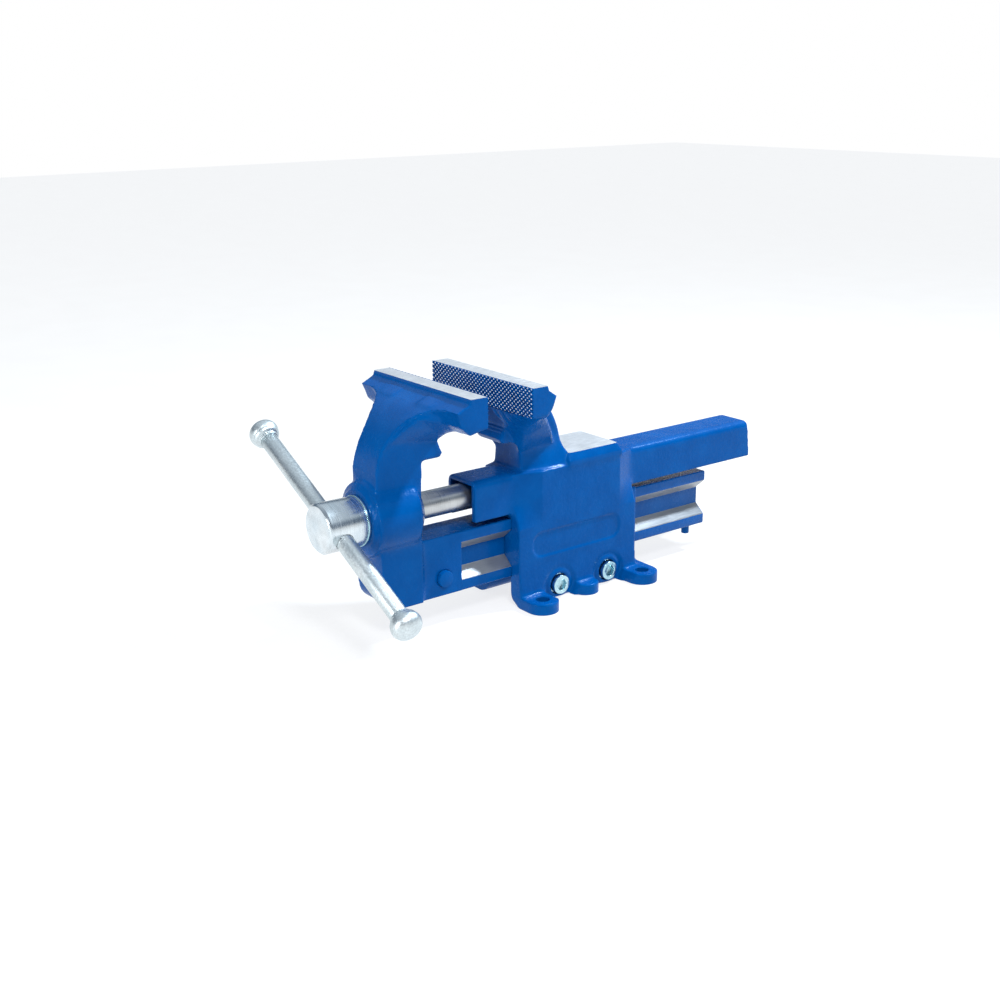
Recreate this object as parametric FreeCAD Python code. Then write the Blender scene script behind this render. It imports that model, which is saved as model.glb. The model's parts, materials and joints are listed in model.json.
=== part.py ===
import FreeCAD, Part
import math
import os

# Bench vise of forged steel with 150 mm jaws. Millimetres.
# +X runs along the jaw width, +Y from the handle to the rear beam, +Z up.
# The origin is the centre of the four mounting holes, on the face that stands on the bench.
# The jaws stand part open and the handle hangs at a slant.

V = FreeCAD.Vector
AXIS_X, AXIS_Y, AXIS_Z = V(1, 0, 0), V(0, 1, 0), V(0, 0, 1)
ROUND = 1 - math.sqrt(0.5)   # how far an arc's middle stands in from its corner, over its radius
OVER = 1.0                   # how far pieces run into each other, and cuts past the surface

# ---- Jaws ----
jaw_width = 150.0            # length of the gripping faces
jaw_rise = 91.6              # height of the ground lands above the hood
jaw_face_height = 26.0       # height of each serrated gripping face
land_depth = 16.5            # width of the ground land on top of a jaw
land_step = 2.0              # step behind the land, in depth
land_step_drop = 4.0         # and in height
jaw_opening = 46.0           # gap between the gripping faces as they stand
travel_open = 125.0          # how much further the jaws open, until the stop pin meets the rear screw

# ---- Neck under each jaw head, measured back from its gripping face and down from the land ----
neck_half = 19.5             # half the neck's width
neck_inner = 30.0            # throat side of the neck
neck_outer = 77.0            # outer side of the neck
bulge_back = 31.0            # the back of the head bulges to here
bulge_drop = 10.0
crest_back, crest_drop = 59.5, 30.0   # a point on the arc from the bulge to the neck's outer side
crest_foot_drop = 66.0
throat_back, throat_drop = 15.0, 32.0 # hollow between the gripping face and the pipe jaw
pipe_top_back, pipe_top_drop = 13.0, 46.0
pipe_tip_back, pipe_tip_drop = 8.0, 58.0
pipe_chin_back, pipe_foot_drop = 11.0, 62.5
pipe_teeth = 4               # teeth along the pipe jaw's sloping face
pipe_tooth_depth = 1.4

# ---- Root that spreads from the fixed jaw's neck into the body ----
neck_root_up, neck_root_down = 24.0, 12.0     # its ends, above and below the hood's top
neck_root_back = 13.0        # how far it spreads behind the neck

# ---- Webs that spread from the neck to the full jaw width ----
# Each row is a station, all measured from the land and the gripping face: distance from the middle
# over half the jaw width, bulge back, lower edge back and down, underside back and down.
fixed_web = [(1.000, 27.0, 23.0, 21.0, 17.0, 28.0), (0.800, 29.0, 27.0, 28.0, 17.0, 34.0),
             (0.613, 31.0, 36.0, 35.0, 19.0, 43.0), (0.480, 31.0, 50.0, 46.0, 22.0, 53.0),
             (0.373, 31.0, 62.0, 60.0, 27.0, 64.0), (0.247, 31.0, 70.0, 74.0, 30.0, 75.0)]
moving_web = [(1.000, 31.0, 26.0, 24.0, 18.0, 31.0), (0.640, 31.0, 28.0, 22.0, 16.0, 33.0),
              (0.480, 34.0, 44.0, 20.0, 15.0, 37.0), (0.373, 34.0, 56.0, 30.0, 14.0, 41.0),
              (0.247, 34.0, 66.0, 44.0, 14.0, 47.0)]

# ---- Guide bar of the moving jaw: an I-section with sloping flanks ----
bar_bottom = 28.0            # height of its underside above the bench
bar_half = 18.0
bar_web_half = 7.0
bar_flange = 10.0            # height of each flange at its edge
bar_flank = 9.5              # rise of each sloping flank
bar_web = 17.0               # height of the flat web between the flanks
groove_start = 10.0          # the ground grooves begin this far behind the gripping face
guide_gap = 0.15             # play on the ground flanks, straight up
side_gap = 0.6               # room beside and above the bar

# ---- Spindle and its hood ----
shank_radius = 12.25
thread_in = 0.75             # the thread stands this much inside the shank
running = 0.05               # radial play of a running fit
axial_play = 0.1
channel_room = 4.15          # room beside the shank in the hood
roof_room = 1.15             # room above it
floor_room = 8.05            # room below it, down to the channel's floor
channel_floor = 5.1          # thickness of the floor between spindle and guide bar
hood_wall = 4.6
hood_roof = 4.0
hood_corner = 7.0            # rounding of the hood's top edges
hood_ahead = 22.8            # the hood reaches this far ahead of the fixed gripping face
beam_behind = 13.0           # the rear beam still covers the spindle's end with the jaws shut
beam_slant = 4.0             # its end face leans forward this much at the top

# ---- Body round the guide bar ----
rear_grip_y = -97.0          # gripping face of the fixed jaw, from the middle of the mounting holes
body_behind = 20.0           # the body starts this far behind the gripping face
body_length = 143.0
cheek = 12.0                 # cheek thickness beside the bar
cheek_foot_spread = 3.5      # the cheeks grow this much thicker at the bench
cheek_foot_top = 35.0        # from this height down
cheek_gap_in = 1.0           # under the bar the cheeks stand this much closer together
cheek_flare = 14.0           # radius of their inner lower edges
waist_below = 8.0            # the body narrows from here, below the bar's top
shoulder_up = 10.3           # and has the hood's width at its ends here, above the channel floor
shoulder_front, shoulder_rear = 27.0, 21.0    # length of the narrowed ends
panel_front, panel_rear = 16.0, 20.0          # the recessed panel's ends, from the body's ends
panel_up, panel_down = 9.5, 6.5               # its edges, from the cheek foot and from the waist
panel_corner = 11.0
panel_depth = 1.1

# ---- Anvil ----
anvil_rise = 10.6            # above the hood
anvil_half = 27.6
anvil_length = 59.0
anvil_rear = 22.0            # from the body's rear face
anvil_bevel = 3.4            # the bevel spreads this much
anvil_bevel_height = 6.8

# ---- Feet ----
hole_reach = 15.0            # from a cheek's side to the mounting holes
hole_spacing_y = 124.0
hole_radius = 6.5
ear_radius = 15.5
ear_height = 10.5
flange_reach = 6.0           # flange along the bench, from a cheek's side
lug_reach = 16.0             # middle lug between the two screws
lug_radius = 13.0

# ---- Foot and barrel of the moving jaw ----
root_reach = 3.0             # the jaw's foot is this much wider than the bar on each side
root_below = 14.0            # it ends this far below the spindle's axis
root_front_in = 2.0          # it stands this far inside the neck's outer side
foot_lean = 4.0              # and this much further from the gripping face at its rear
foot_corner = 18.0
barrel_radius = 33.0
boss_ahead = 8.0             # boss face ahead of the neck's outer side
boss_step = 3.0              # the boss stands this far out of the barrel
boss_reach = 5.0             # and reaches this much further out than the hub
barrel_taper = 10.0          # length of the cone at the barrel's rear
barrel_rear_radius = 21.0
plug_radius = 7.5
plug_back, plug_up = 9.5, 16.5        # from the gripping face and from the bar's underside
plug_proud = 0.8
stop_radius = 4.0
stop_length = 30.0
stop_up = 0.5                # its lower end above the screws' axis

# ---- Nut and its screws ----
nut_behind = 17.0            # from the body's front face
nut_length = 60.0
nut_clear = 0.2
nut_edge = 3.0
nut_screw_along = (15.0, 45.0)
nut_screw_radius = 4.0
nut_screw_head_radius = 7.5
nut_screw_head = 4.0
nut_screw_length = 12.0

# ---- What is fixed on the spindle ----
bush_wall = 3.5
washer_thick = 3.0
washer_out = 0.6             # the thrust washer reaches this much further out than the hub
back_washer_thick = 2.0
collar_wall = 5.75
collar_length = 9.0
collar_room = 1.0
collar_pocket = 13.5         # depth of the pocket in the jaw's rear face
pin_radius = 2.5
pin_angle = 112.0            # direction of the cross pins, degrees up from +X
pin_short = 0.3              # a pin ends this far below the surface
shank_past = 2.0             # the shank still stands clear of the nut by this with the jaws shut
spindle_past = 10.0          # the spindle ends this far behind the stop pin
spindle_tip = 1.5            # bevel on its end

# ---- Hub and handle ----
hub_radius = 22.0
hub_length = 36.0
hub_edge = 2.0
hub_bore_radius = 9.0
hub_bore_depth = 12.5
hub_bore_gap = 0.5
handle_radius = 8.0
handle_clear = 0.3
handle_ahead = 24.6          # handle axis ahead of the boss face
handle_tilt = 26.1           # degrees below level, towards +X
knob_low, knob_high = 122.5, -129.3   # middle of each knob, along the handle from the spindle's axis
knob_length = 21.0
knob_radius = 13.5
knob_neck = 1.2              # the neck is this much larger than the handle
knob_neck_end = 2.2
knob_cove = 4.0              # length of the hollow that widens into the rim
knob_cove_middle, knob_cove_out = 1.4, 2.2    # a point on it, along and out from the neck
knob_cove_end = 1.0          # its end, inside the widest radius
knob_widest = 11.0
knob_rim_in = 3.2            # the rim rounds in by this
knob_dome = 3.8              # depth of the domed end
knob_stub_radius = 5.0
knob_stub = 14.0

# ---- Screws that set the guide's play ----
clamp_y = (-30.0, 30.0)
clamp_z = 13.5
clamp_radius = 6.0
clamp_clear = 0.6
clamp_head_radius = 9.0
clamp_head = 7.0
clamp_head_out = 5.0         # outer face of the screw heads, from the pocket's floor
socket_flats = 10.0
socket_depth = 4.5
ring_radius = 10.0
ring_thick = 2.0
ring_room = 0.5
pocket_radius = 19.0
pocket_depth = 0.5
lock_nut_flats = 18.0
lock_nut_thick = 6.0
lock_nut_room = 12.0
screw_past = 1.0             # the screws' tips stand this far out of the lock nuts

# ---- Worked out from the above: heights ----
bar_top = bar_bottom + 2 * (bar_flange + bar_flank) + bar_web
channel_low = bar_top + side_gap + channel_floor
spindle_z = channel_low + floor_room + shank_radius
channel_roof = spindle_z + shank_radius + roof_room
hood_top = channel_roof + hood_roof
anvil_top = hood_top + anvil_rise
jaw_top = hood_top + jaw_rise
waist_z = bar_top - waist_below
shoulder_z = channel_low + shoulder_up

# ---- Half widths ----
channel_half = shank_radius + channel_room
hood_half = channel_half + hood_wall
body_half = bar_half + cheek
root_half = bar_half + root_reach
cheek_gap_half = bar_half - cheek_gap_in
hole_x = body_half + hole_reach
hole_y = hole_spacing_y / 2
pocket_half = body_half - pocket_depth
clamp_face = pocket_half + clamp_head_out
clamp_seat = clamp_face - clamp_head - ring_thick

# ---- Positions along Y ----
front_grip_y = rear_grip_y - jaw_opening
body_front_y = rear_grip_y + body_behind
body_rear_y = body_front_y + body_length
hood_front_y = rear_grip_y - hood_ahead
nut_front_y = body_front_y + nut_behind
stop_y = clamp_y[1] + clamp_radius + stop_radius + travel_open
bar_end_y = stop_y + 2 * stop_radius
bar_groove_y = front_grip_y + groove_start
spindle_end_y = stop_y + spindle_past
beam_end_y = spindle_end_y + jaw_opening + beam_behind
thread_start_y = nut_front_y - jaw_opening - shank_past
root_rear_y = front_grip_y - neck_inner
foot_rear_y = root_rear_y - foot_lean
neck_front_y = front_grip_y - neck_outer
boss_face_y = neck_front_y - boss_ahead
collar_pocket_y = root_rear_y - collar_pocket
back_washer_y = collar_pocket_y + axial_play
collar_y = back_washer_y + back_washer_thick + axial_play
washer_y = boss_face_y - axial_play - washer_thick
hub_rear_y = washer_y - axial_play
hub_front_y = hub_rear_y - hub_length
handle_y = boss_face_y - handle_ahead

# ---- Radii ----
thread_radius = shank_radius - thread_in
bush_radius = shank_radius + running + bush_wall
collar_radius = shank_radius + collar_wall
collar_pocket_radius = collar_radius + collar_room
knob_neck_radius = handle_radius + knob_neck


# ---- Helpers ----

def box(x0, x1, y0, y1, z0, z1):
    return Part.makeBox(x1 - x0, y1 - y0, z1 - z0, V(x0, y0, z0))


def rod(radius, start, axis, length):
    return Part.makeCylinder(radius, length, start, axis)


def ring(outer, inner, start, axis, length):
    return rod(outer, start, axis, length).cut(rod(inner, start, axis, length))


def outline(points):
    """Closed wire through the points. A pair of points in place of one is an arc's middle and end."""
    edges = []
    here = points[0]
    for item in points[1:] + [points[0]]:
        if isinstance(item, tuple):
            middle, end = item
            edges.append(Part.Arc(here, middle, end).toShape())
        else:
            end = item
            edges.append(Part.LineSegment(here, end).toShape())
        here = end
    return Part.Wire(edges)


def prism(points, sweep):
    return Part.Face(outline(points)).extrude(sweep)


def mirrored_x(half_points):
    """Closed point list across the YZ plane, from the points of its +X half."""
    return half_points + [V(-p.x, p.y, p.z) for p in reversed(half_points)]


def loft(sections):
    """Ruled solid through closed polygons with the same number of corners."""
    wires = [Part.makePolygon(points + [points[0]]) for points in sections]
    return Part.makeLoft(wires, True, True)


def fuse_all(shapes):
    return shapes[0].fuse(shapes[1:]).removeSplitter()


def hexagon_prism(flats, start, length):
    """Hexagonal prism along +X, with two of its flats level."""
    corner = flats / math.sqrt(3)
    angles = [math.radians(60 * side) for side in range(6)]
    points = [start + V(0, corner * math.cos(angle), corner * math.sin(angle)) for angle in angles]
    return prism(points, V(length, 0, 0))


def handle_point(along):
    tilt = math.radians(handle_tilt)
    return V(along * math.cos(tilt), handle_y, spindle_z - along * math.sin(tilt))


def handle_direction():
    return (handle_point(1) - handle_point(0)).normalize()


def cross_pin(y, half_length):
    """Straight pin through the spindle's axis."""
    angle = math.radians(pin_angle)
    direction = V(math.cos(angle), 0, math.sin(angle))
    return rod(pin_radius, V(0, y, spindle_z) - direction * half_length, direction, 2 * half_length)


# ---- A jaw: head, webs, neck and pipe jaw, built alike on both sides ----

def jaw_upper(grip_y, side, web, foot_z, lean):
    """Jaw from its land down to foot_z. side is +1 where it lies on the +Y side of its gripping face."""
    def at(back, drop, x=-neck_half):
        return V(x, grip_y + side * back, jaw_top - drop)

    foot_drop = jaw_top - foot_z
    crest = (at(crest_back, crest_drop), at(neck_outer, crest_foot_drop))
    head = [at(0, 0), at(land_depth, 0), at(land_depth + land_step, land_step_drop),
            at(bulge_back, bulge_drop), crest, at(neck_outer, foot_drop), at(neck_inner + lean, foot_drop),
            at(neck_inner, pipe_foot_drop), at(pipe_chin_back, pipe_foot_drop),
            at(pipe_tip_back, pipe_tip_drop)]
    step_back = (pipe_top_back - pipe_tip_back) / pipe_teeth
    step_up = (pipe_tip_drop - pipe_top_drop) / pipe_teeth
    teeth = []
    for tooth in range(1, pipe_teeth + 1):
        back, drop = pipe_tip_back + tooth * step_back, pipe_tip_drop - tooth * step_up
        teeth += [at(back + pipe_tooth_depth, drop + step_up / 2), at(back, drop)]
    pieces = [prism(head + teeth + [at(throat_back, throat_drop), at(0, jaw_face_height)],
                    V(2 * neck_half, 0, 0))]
    for hand in (-1, 1):
        sections = []
        for share, bulge, low_back, low_drop, under_back, under_drop in web:
            x = hand * share * jaw_width / 2
            sections.append([at(0, 0, x), at(land_depth, 0, x), at(land_depth + land_step, land_step_drop, x),
                             at(bulge, bulge_drop, x), at(low_back, low_drop, x),
                             at(under_back, under_drop, x), at(0, jaw_face_height, x)])
        pieces.append(loft(sections))
    return fuse_all(pieces)


# ---- Fixed jaw body ----

def body_block():
    """Body round the guide bar, narrowing at its ends into the hood."""
    def section(z, half, end_half):
        front, rear = body_front_y + shoulder_front, body_rear_y - shoulder_rear
        return mirrored_x([V(end_half, body_front_y, z), V(half, front, z), V(half, rear, z),
                           V(end_half, body_rear_y, z)])

    foot_half = body_half + cheek_foot_spread
    return loft([section(0, foot_half, foot_half), section(cheek_foot_top, body_half, body_half),
                 section(waist_z, body_half, body_half), section(shoulder_z, body_half, hood_half),
                 section(hood_top, body_half, hood_half)])


def neck_root():
    """Root that spreads from the neck over the body's shoulders."""
    front, rear = rear_grip_y + neck_inner, rear_grip_y + neck_outer
    shoulder, foot, top = front + shoulder_front, hood_top - neck_root_down, hood_top + neck_root_up
    return loft([mirrored_x([V(hood_half, front, foot), V(body_half, shoulder, foot),
                             V(body_half, rear + neck_root_back, foot)]),
                 mirrored_x([V(neck_half, front, top), V(neck_half, shoulder, top),
                             V(neck_half, rear, top)])])


def hood():
    """Hood over the spindle, with the beam behind the body."""
    def at(x, z):
        return V(x, hood_front_y, z)

    straight = hood_half - hood_corner
    middle = hood_half - ROUND * hood_corner
    middle_z = hood_top - ROUND * hood_corner
    low_z = hood_top - hood_corner
    beam = prism([at(hood_half, channel_low), at(hood_half, low_z),
                  (at(middle, middle_z), at(straight, hood_top)), at(-straight, hood_top),
                  (at(-middle, middle_z), at(-hood_half, low_z)), at(-hood_half, channel_low)],
                 V(0, beam_end_y - hood_front_y, 0))
    x = -hood_half - OVER
    end = prism([V(x, beam_end_y, channel_low), V(x, beam_end_y + OVER, channel_low),
                 V(x, beam_end_y + OVER, hood_top), V(x, beam_end_y - beam_slant, hood_top)],
                V(-2 * x, 0, 0))
    return beam.cut(end)


def anvil():
    rear = body_rear_y - anvil_rear
    front = rear - anvil_length

    def rectangle(spread, z):
        half = anvil_half + spread
        return mirrored_x([V(half, front - spread, z), V(half, rear + spread, z)])

    return loft([rectangle(anvil_bevel, hood_top - OVER),
                 rectangle(anvil_bevel, anvil_top - anvil_bevel_height), rectangle(0, anvil_top)])


def feet():
    """Flange along the bench, with four ears and two middle lugs."""
    flange_half = body_half + flange_reach
    lug_x = body_half + lug_reach - lug_radius
    pieces = [box(-flange_half, flange_half, body_front_y, body_rear_y, 0, ear_height),
              rod(lug_radius, V(lug_x, 0, 0), AXIS_Z, ear_height),
              rod(lug_radius, V(-lug_x, 0, 0), AXIS_Z, ear_height)]
    for y in (-hole_y, hole_y):
        pieces += [box(-hole_x, hole_x, y - ear_radius, y + ear_radius, 0, ear_height),
                   rod(ear_radius, V(hole_x, y, 0), AXIS_Z, ear_height),
                   rod(ear_radius, V(-hole_x, y, 0), AXIS_Z, ear_height)]
    return fuse_all(pieces)


def guide_channel():
    """Room for the guide bar through the body, open below between the cheeks."""
    wide, web = bar_half + side_gap, bar_web_half + side_gap
    shift = side_gap * bar_flank / (bar_half - bar_web_half) - guide_gap
    low, high = bar_bottom + bar_flange - shift, bar_top - bar_flange + shift
    y = min(body_front_y, -hole_y - ear_radius) - OVER
    length = max(body_rear_y, hole_y + ear_radius) + OVER - y
    foot = cheek_gap_half + cheek_flare
    middle = cheek_gap_half + ROUND * cheek_flare
    points = [V(wide, y, bar_top + side_gap), V(wide, y, high), V(web, y, high - bar_flank),
              V(web, y, low + bar_flank), V(wide, y, low), V(wide, y, bar_bottom - side_gap),
              V(cheek_gap_half, y, bar_bottom - side_gap), V(cheek_gap_half, y, cheek_flare),
              (V(middle, y, ROUND * cheek_flare), V(foot, y, 0)), V(foot, y, -OVER), V(-foot, y, -OVER),
              V(-foot, y, 0), (V(-middle, y, ROUND * cheek_flare), V(-cheek_gap_half, y, cheek_flare)),
              V(-cheek_gap_half, y, bar_bottom - side_gap), V(-wide, y, bar_bottom - side_gap),
              V(-wide, y, low), V(-web, y, low + bar_flank), V(-web, y, high - bar_flank),
              V(-wide, y, high), V(-wide, y, bar_top + side_gap)]
    return prism(points, V(0, length, 0))


def hood_channel():
    """Spindle channel: floored inside the body, open below outside it."""
    front_y, rear_y = hood_front_y - OVER, beam_end_y + OVER
    below = channel_low - OVER
    return fuse_all([box(-channel_half, channel_half, front_y, rear_y, channel_low, channel_roof),
                     box(-channel_half, channel_half, front_y, body_front_y, below, channel_roof),
                     box(-channel_half, channel_half, body_rear_y, rear_y, below, channel_roof)])


def panel(x):
    """Blank recessed panel with round corners, cut into a cheek from x outwards."""
    front, rear = body_front_y + panel_front, body_rear_y - panel_rear
    low, high = cheek_foot_top + panel_up, waist_z - panel_down
    far, near = panel_corner, ROUND * panel_corner
    points = [V(x, front, low + far), (V(x, front + near, low + near), V(x, front + far, low)),
              V(x, rear - far, low), (V(x, rear - near, low + near), V(x, rear, low + far)),
              V(x, rear, high - far), (V(x, rear - near, high - near), V(x, rear - far, high)),
              V(x, front + far, high), (V(x, front + near, high - near), V(x, front, high - far))]
    return prism(points, V(math.copysign(panel_depth + OVER, x), 0, 0))


def clamp_cuts():
    """Pockets, counterbores and holes for the screws through both cheeks."""
    reach = body_half + lug_reach
    cuts = []
    for y in clamp_y:
        cuts += [rod(clamp_radius + clamp_clear, V(0, y, clamp_z), AXIS_X, reach),
                 rod(ring_radius + ring_room, V(clamp_seat, y, clamp_z), AXIS_X, reach),
                 rod(pocket_radius, V(pocket_half, y, clamp_z), AXIS_X, reach),
                 rod(clamp_radius, V(0, y, clamp_z), -AXIS_X, reach),
                 rod(lock_nut_room, V(-clamp_seat, y, clamp_z), -AXIS_X, reach),
                 rod(pocket_radius, V(-pocket_half, y, clamp_z), -AXIS_X, reach)]
    return cuts


def nut_screw(along):
    """Countersunk screw from the guide bar's channel up into the nut."""
    start = V(0, nut_front_y + along, bar_top + side_gap)
    head = Part.makeCone(nut_screw_head_radius, nut_screw_radius, nut_screw_head, start, AXIS_Z)
    return fuse_all([head, rod(nut_screw_radius, start, AXIS_Z, nut_screw_length)])


def fixed_jaw_body():
    holes = [rod(hole_radius, V(x, y, -OVER), AXIS_Z, ear_height + 2 * OVER)
             for x in (-hole_x, hole_x) for y in (-hole_y, hole_y)]
    panel_x = body_half - panel_depth
    solid = fuse_all([body_block(), neck_root(), hood(), anvil(), feet(),
                      jaw_upper(rear_grip_y, 1, fixed_web, hood_top - OVER, 0)])
    return solid.cut([guide_channel(), hood_channel(), panel(panel_x), panel(-panel_x)] + holes
                     + clamp_cuts() + [nut_screw(along) for along in nut_screw_along])


# ---- Moving jaw with its guide bar ----

def guide_bar():
    def at(x, z):
        return V(x, bar_groove_y, z)

    low, high = bar_bottom + bar_flange, bar_top - bar_flange
    half = [at(bar_half, bar_bottom), at(bar_half, low), at(bar_web_half, low + bar_flank),
            at(bar_web_half, high - bar_flank), at(bar_half, high), at(bar_half, bar_top)]
    grooved = prism(mirrored_x(half), V(0, bar_end_y - bar_groove_y, 0))
    whole = box(-bar_half, bar_half, foot_rear_y - OVER, bar_groove_y, bar_bottom, bar_top)
    return fuse_all([grooved, whole])


def jaw_foot():
    """Lower end of the moving jaw, which carries the guide bar."""
    def at(y, z):
        return V(-root_half, y, z)

    front, top = neck_front_y + root_front_in, spindle_z - root_below
    near = ROUND * foot_corner
    return prism([at(foot_rear_y, top), at(foot_rear_y, bar_bottom), at(front + foot_corner, bar_bottom),
                  (at(front + near, bar_bottom + near), at(front, bar_bottom + foot_corner)),
                  at(front, top)], V(2 * root_half, 0, 0))


def barrel():
    """Barrel round the spindle, with its boss in front and a cone to the rear."""
    front, rear = boss_face_y + boss_step, root_rear_y - barrel_taper
    return fuse_all([rod(hub_radius + boss_reach, V(0, boss_face_y, spindle_z), AXIS_Y, boss_step + OVER),
                     rod(barrel_radius, V(0, front, spindle_z), AXIS_Y, rear - front),
                     Part.makeCone(barrel_radius, barrel_rear_radius, barrel_taper, V(0, rear, spindle_z),
                                   AXIS_Y)])


def moving_jaw():
    solid = fuse_all([jaw_upper(front_grip_y, -1, moving_web, spindle_z - root_below - OVER, foot_lean),
                      jaw_foot(), barrel(), guide_bar()])
    bore = rod(bush_radius, V(0, boss_face_y, spindle_z), AXIS_Y, collar_pocket_y - boss_face_y)
    pocket = rod(collar_pocket_radius, V(0, collar_pocket_y, spindle_z), AXIS_Y, collar_pocket + OVER)
    return solid.cut([bore, pocket, stop_pin(), guide_bar_plug(root_half)])


def stop_pin():
    return rod(stop_radius, V(0, stop_y, clamp_z + stop_up), AXIS_Z, stop_length)


def guide_bar_plug(half_length):
    start = V(-half_length, front_grip_y - plug_back, bar_bottom + plug_up)
    return rod(plug_radius, start, AXIS_X, 2 * half_length)


# ---- Spindle and what is fixed on it ----

def collar_pin(half_length):
    return cross_pin(collar_y + collar_length / 2, half_length)


def head_pin(half_length):
    return cross_pin(hub_rear_y - hub_bore_depth / 2, half_length)


def spindle():
    stub_y = hub_rear_y - hub_bore_depth + hub_bore_gap
    tip_y = spindle_end_y - spindle_tip
    thread_y = thread_start_y - OVER
    solid = fuse_all([
        rod(hub_bore_radius, V(0, stub_y, spindle_z), AXIS_Y, hub_rear_y - stub_y + OVER),
        rod(shank_radius, V(0, hub_rear_y, spindle_z), AXIS_Y, thread_start_y - hub_rear_y),
        rod(thread_radius, V(0, thread_y, spindle_z), AXIS_Y, tip_y - thread_y),
        Part.makeCone(thread_radius, thread_radius - spindle_tip, spindle_tip, V(0, tip_y, spindle_z),
                      AXIS_Y)])
    return solid.cut([head_pin(hub_radius), collar_pin(collar_radius)])


def spindle_head():
    solid = fuse_all([
        Part.makeCone(hub_radius - hub_edge, hub_radius, hub_edge, V(0, hub_front_y, spindle_z), AXIS_Y),
        rod(hub_radius, V(0, hub_front_y + hub_edge, spindle_z), AXIS_Y, hub_length - hub_edge)])
    bore = rod(hub_bore_radius, V(0, hub_rear_y - hub_bore_depth, spindle_z), AXIS_Y, hub_bore_depth)
    cross = rod(handle_radius + handle_clear, handle_point(-2 * hub_radius), handle_direction(),
                4 * hub_radius)
    return solid.cut([bore, cross, head_pin(hub_radius + OVER)])


def retaining_collar():
    solid = ring(collar_radius, shank_radius, V(0, collar_y, spindle_z), AXIS_Y, collar_length)
    return solid.cut(collar_pin(collar_radius + OVER))


# ---- Handle ----

def knob(middle_along, outward):
    """Knob turned about the handle: a hollow neck, a round rim and a domed end."""
    def at(along, radius):
        return V(radius, 0, along)

    edge_along, edge_radius = knob_length - knob_dome, knob_radius - knob_rim_in
    dome_middle = (knob_length ** 2 - edge_along ** 2 - edge_radius ** 2) / (2 * knob_dome)
    dome_radius = knob_length - dome_middle
    half_angle = math.asin(edge_radius / dome_radius) / 2
    cove = (at(knob_neck_end + knob_cove_middle, knob_neck_radius + knob_cove_out),
            at(knob_neck_end + knob_cove, knob_radius - knob_cove_end))
    dome = (at(dome_middle + dome_radius * math.cos(half_angle), dome_radius * math.sin(half_angle)),
            at(knob_length, 0))
    profile = [at(0, knob_stub_radius), at(0, knob_neck_radius), at(knob_neck_end, knob_neck_radius), cove,
               (at(knob_widest, knob_radius), at(edge_along, edge_radius)), dome, at(knob_stub, 0),
               at(knob_stub, knob_stub_radius)]
    turned = Part.Face(outline(profile)).revolve(V(0, 0, 0), AXIS_Z, 360)
    turned.Placement = FreeCAD.Placement(handle_point(middle_along - outward * knob_length / 2),
                                         FreeCAD.Rotation(AXIS_Z, handle_direction() * outward))
    return turned


def handle_bar():
    start, end = knob_high + knob_length / 2, knob_low - knob_length / 2
    return fuse_all([rod(handle_radius, handle_point(start), handle_direction(), end - start),
                     rod(knob_stub_radius, handle_point(start - knob_stub), handle_direction(),
                         end - start + 2 * knob_stub)])


# ---- Nut, washers and fasteners ----

def spindle_nut():
    def at(x, z):
        return V(x, nut_front_y, z)

    half, top = channel_half - nut_clear, channel_roof - nut_clear
    block = prism(mirrored_x([at(half, channel_low), at(half, top - nut_edge), at(half - nut_edge, top)]),
                  V(0, nut_length, 0))
    bore = rod(thread_radius + running, at(0, spindle_z), AXIS_Y, nut_length)
    return block.cut([bore] + [nut_screw(along) for along in nut_screw_along])


def spindle_ring(outer, y, length):
    """Ring in which the spindle turns freely."""
    return ring(outer, shank_radius + running, V(0, y, spindle_z), AXIS_Y, length)


def clamp_screw(y):
    neck_x = clamp_face - clamp_head
    tip_x = -clamp_seat - lock_nut_thick - screw_past
    head = rod(clamp_head_radius, V(neck_x, y, clamp_z), AXIS_X, clamp_head)
    shank = rod(clamp_radius, V(tip_x, y, clamp_z), AXIS_X, neck_x - tip_x + OVER)
    socket = hexagon_prism(socket_flats, V(clamp_face - socket_depth, y, clamp_z), socket_depth)
    return fuse_all([head, shank]).cut(socket)


def clamp_washer(y):
    return ring(ring_radius, clamp_radius, V(clamp_seat, y, clamp_z), AXIS_X, ring_thick)


def lock_nut(y):
    start = V(-clamp_seat - lock_nut_thick, y, clamp_z)
    block = hexagon_prism(lock_nut_flats, start, lock_nut_thick)
    return block.cut(rod(clamp_radius, start, AXIS_X, lock_nut_thick))


# ---- One file for each node ----

os.makedirs("parts", exist_ok=True)
nodes = {
    "fixed_jaw_body": fixed_jaw_body(),
    "clamp_screws": Part.makeCompound([clamp_screw(y) for y in clamp_y]),
    "clamp_screw_washers": Part.makeCompound([clamp_washer(y) for y in clamp_y]),
    "clamp_lock_nuts": Part.makeCompound([lock_nut(y) for y in clamp_y]),
    "spindle_nut": spindle_nut(),
    "nut_screws": Part.makeCompound([nut_screw(along) for along in nut_screw_along]),
    "moving_jaw": moving_jaw(),
    "spindle_bush": spindle_ring(bush_radius, boss_face_y, collar_pocket_y - boss_face_y),
    "guide_bar_plug": guide_bar_plug(root_half + plug_proud),
    "stop_pin": stop_pin(),
    "spindle": spindle(),
    "spindle_head": spindle_head(),
    "head_pin": head_pin(hub_radius - pin_short),
    "thrust_washer": spindle_ring(hub_radius + washer_out, washer_y, washer_thick),
    "back_washer": spindle_ring(collar_radius, back_washer_y, back_washer_thick),
    "retaining_collar": retaining_collar(),
    "collar_pin": collar_pin(collar_radius - pin_short),
    "handle_bar": handle_bar(),
    "handle_knob_upper": knob(knob_high, -1),
    "handle_knob_lower": knob(knob_low, 1),
}
for name, shape in nodes.items():
    shape.exportStep("parts/" + name + ".step")
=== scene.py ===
import math

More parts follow.
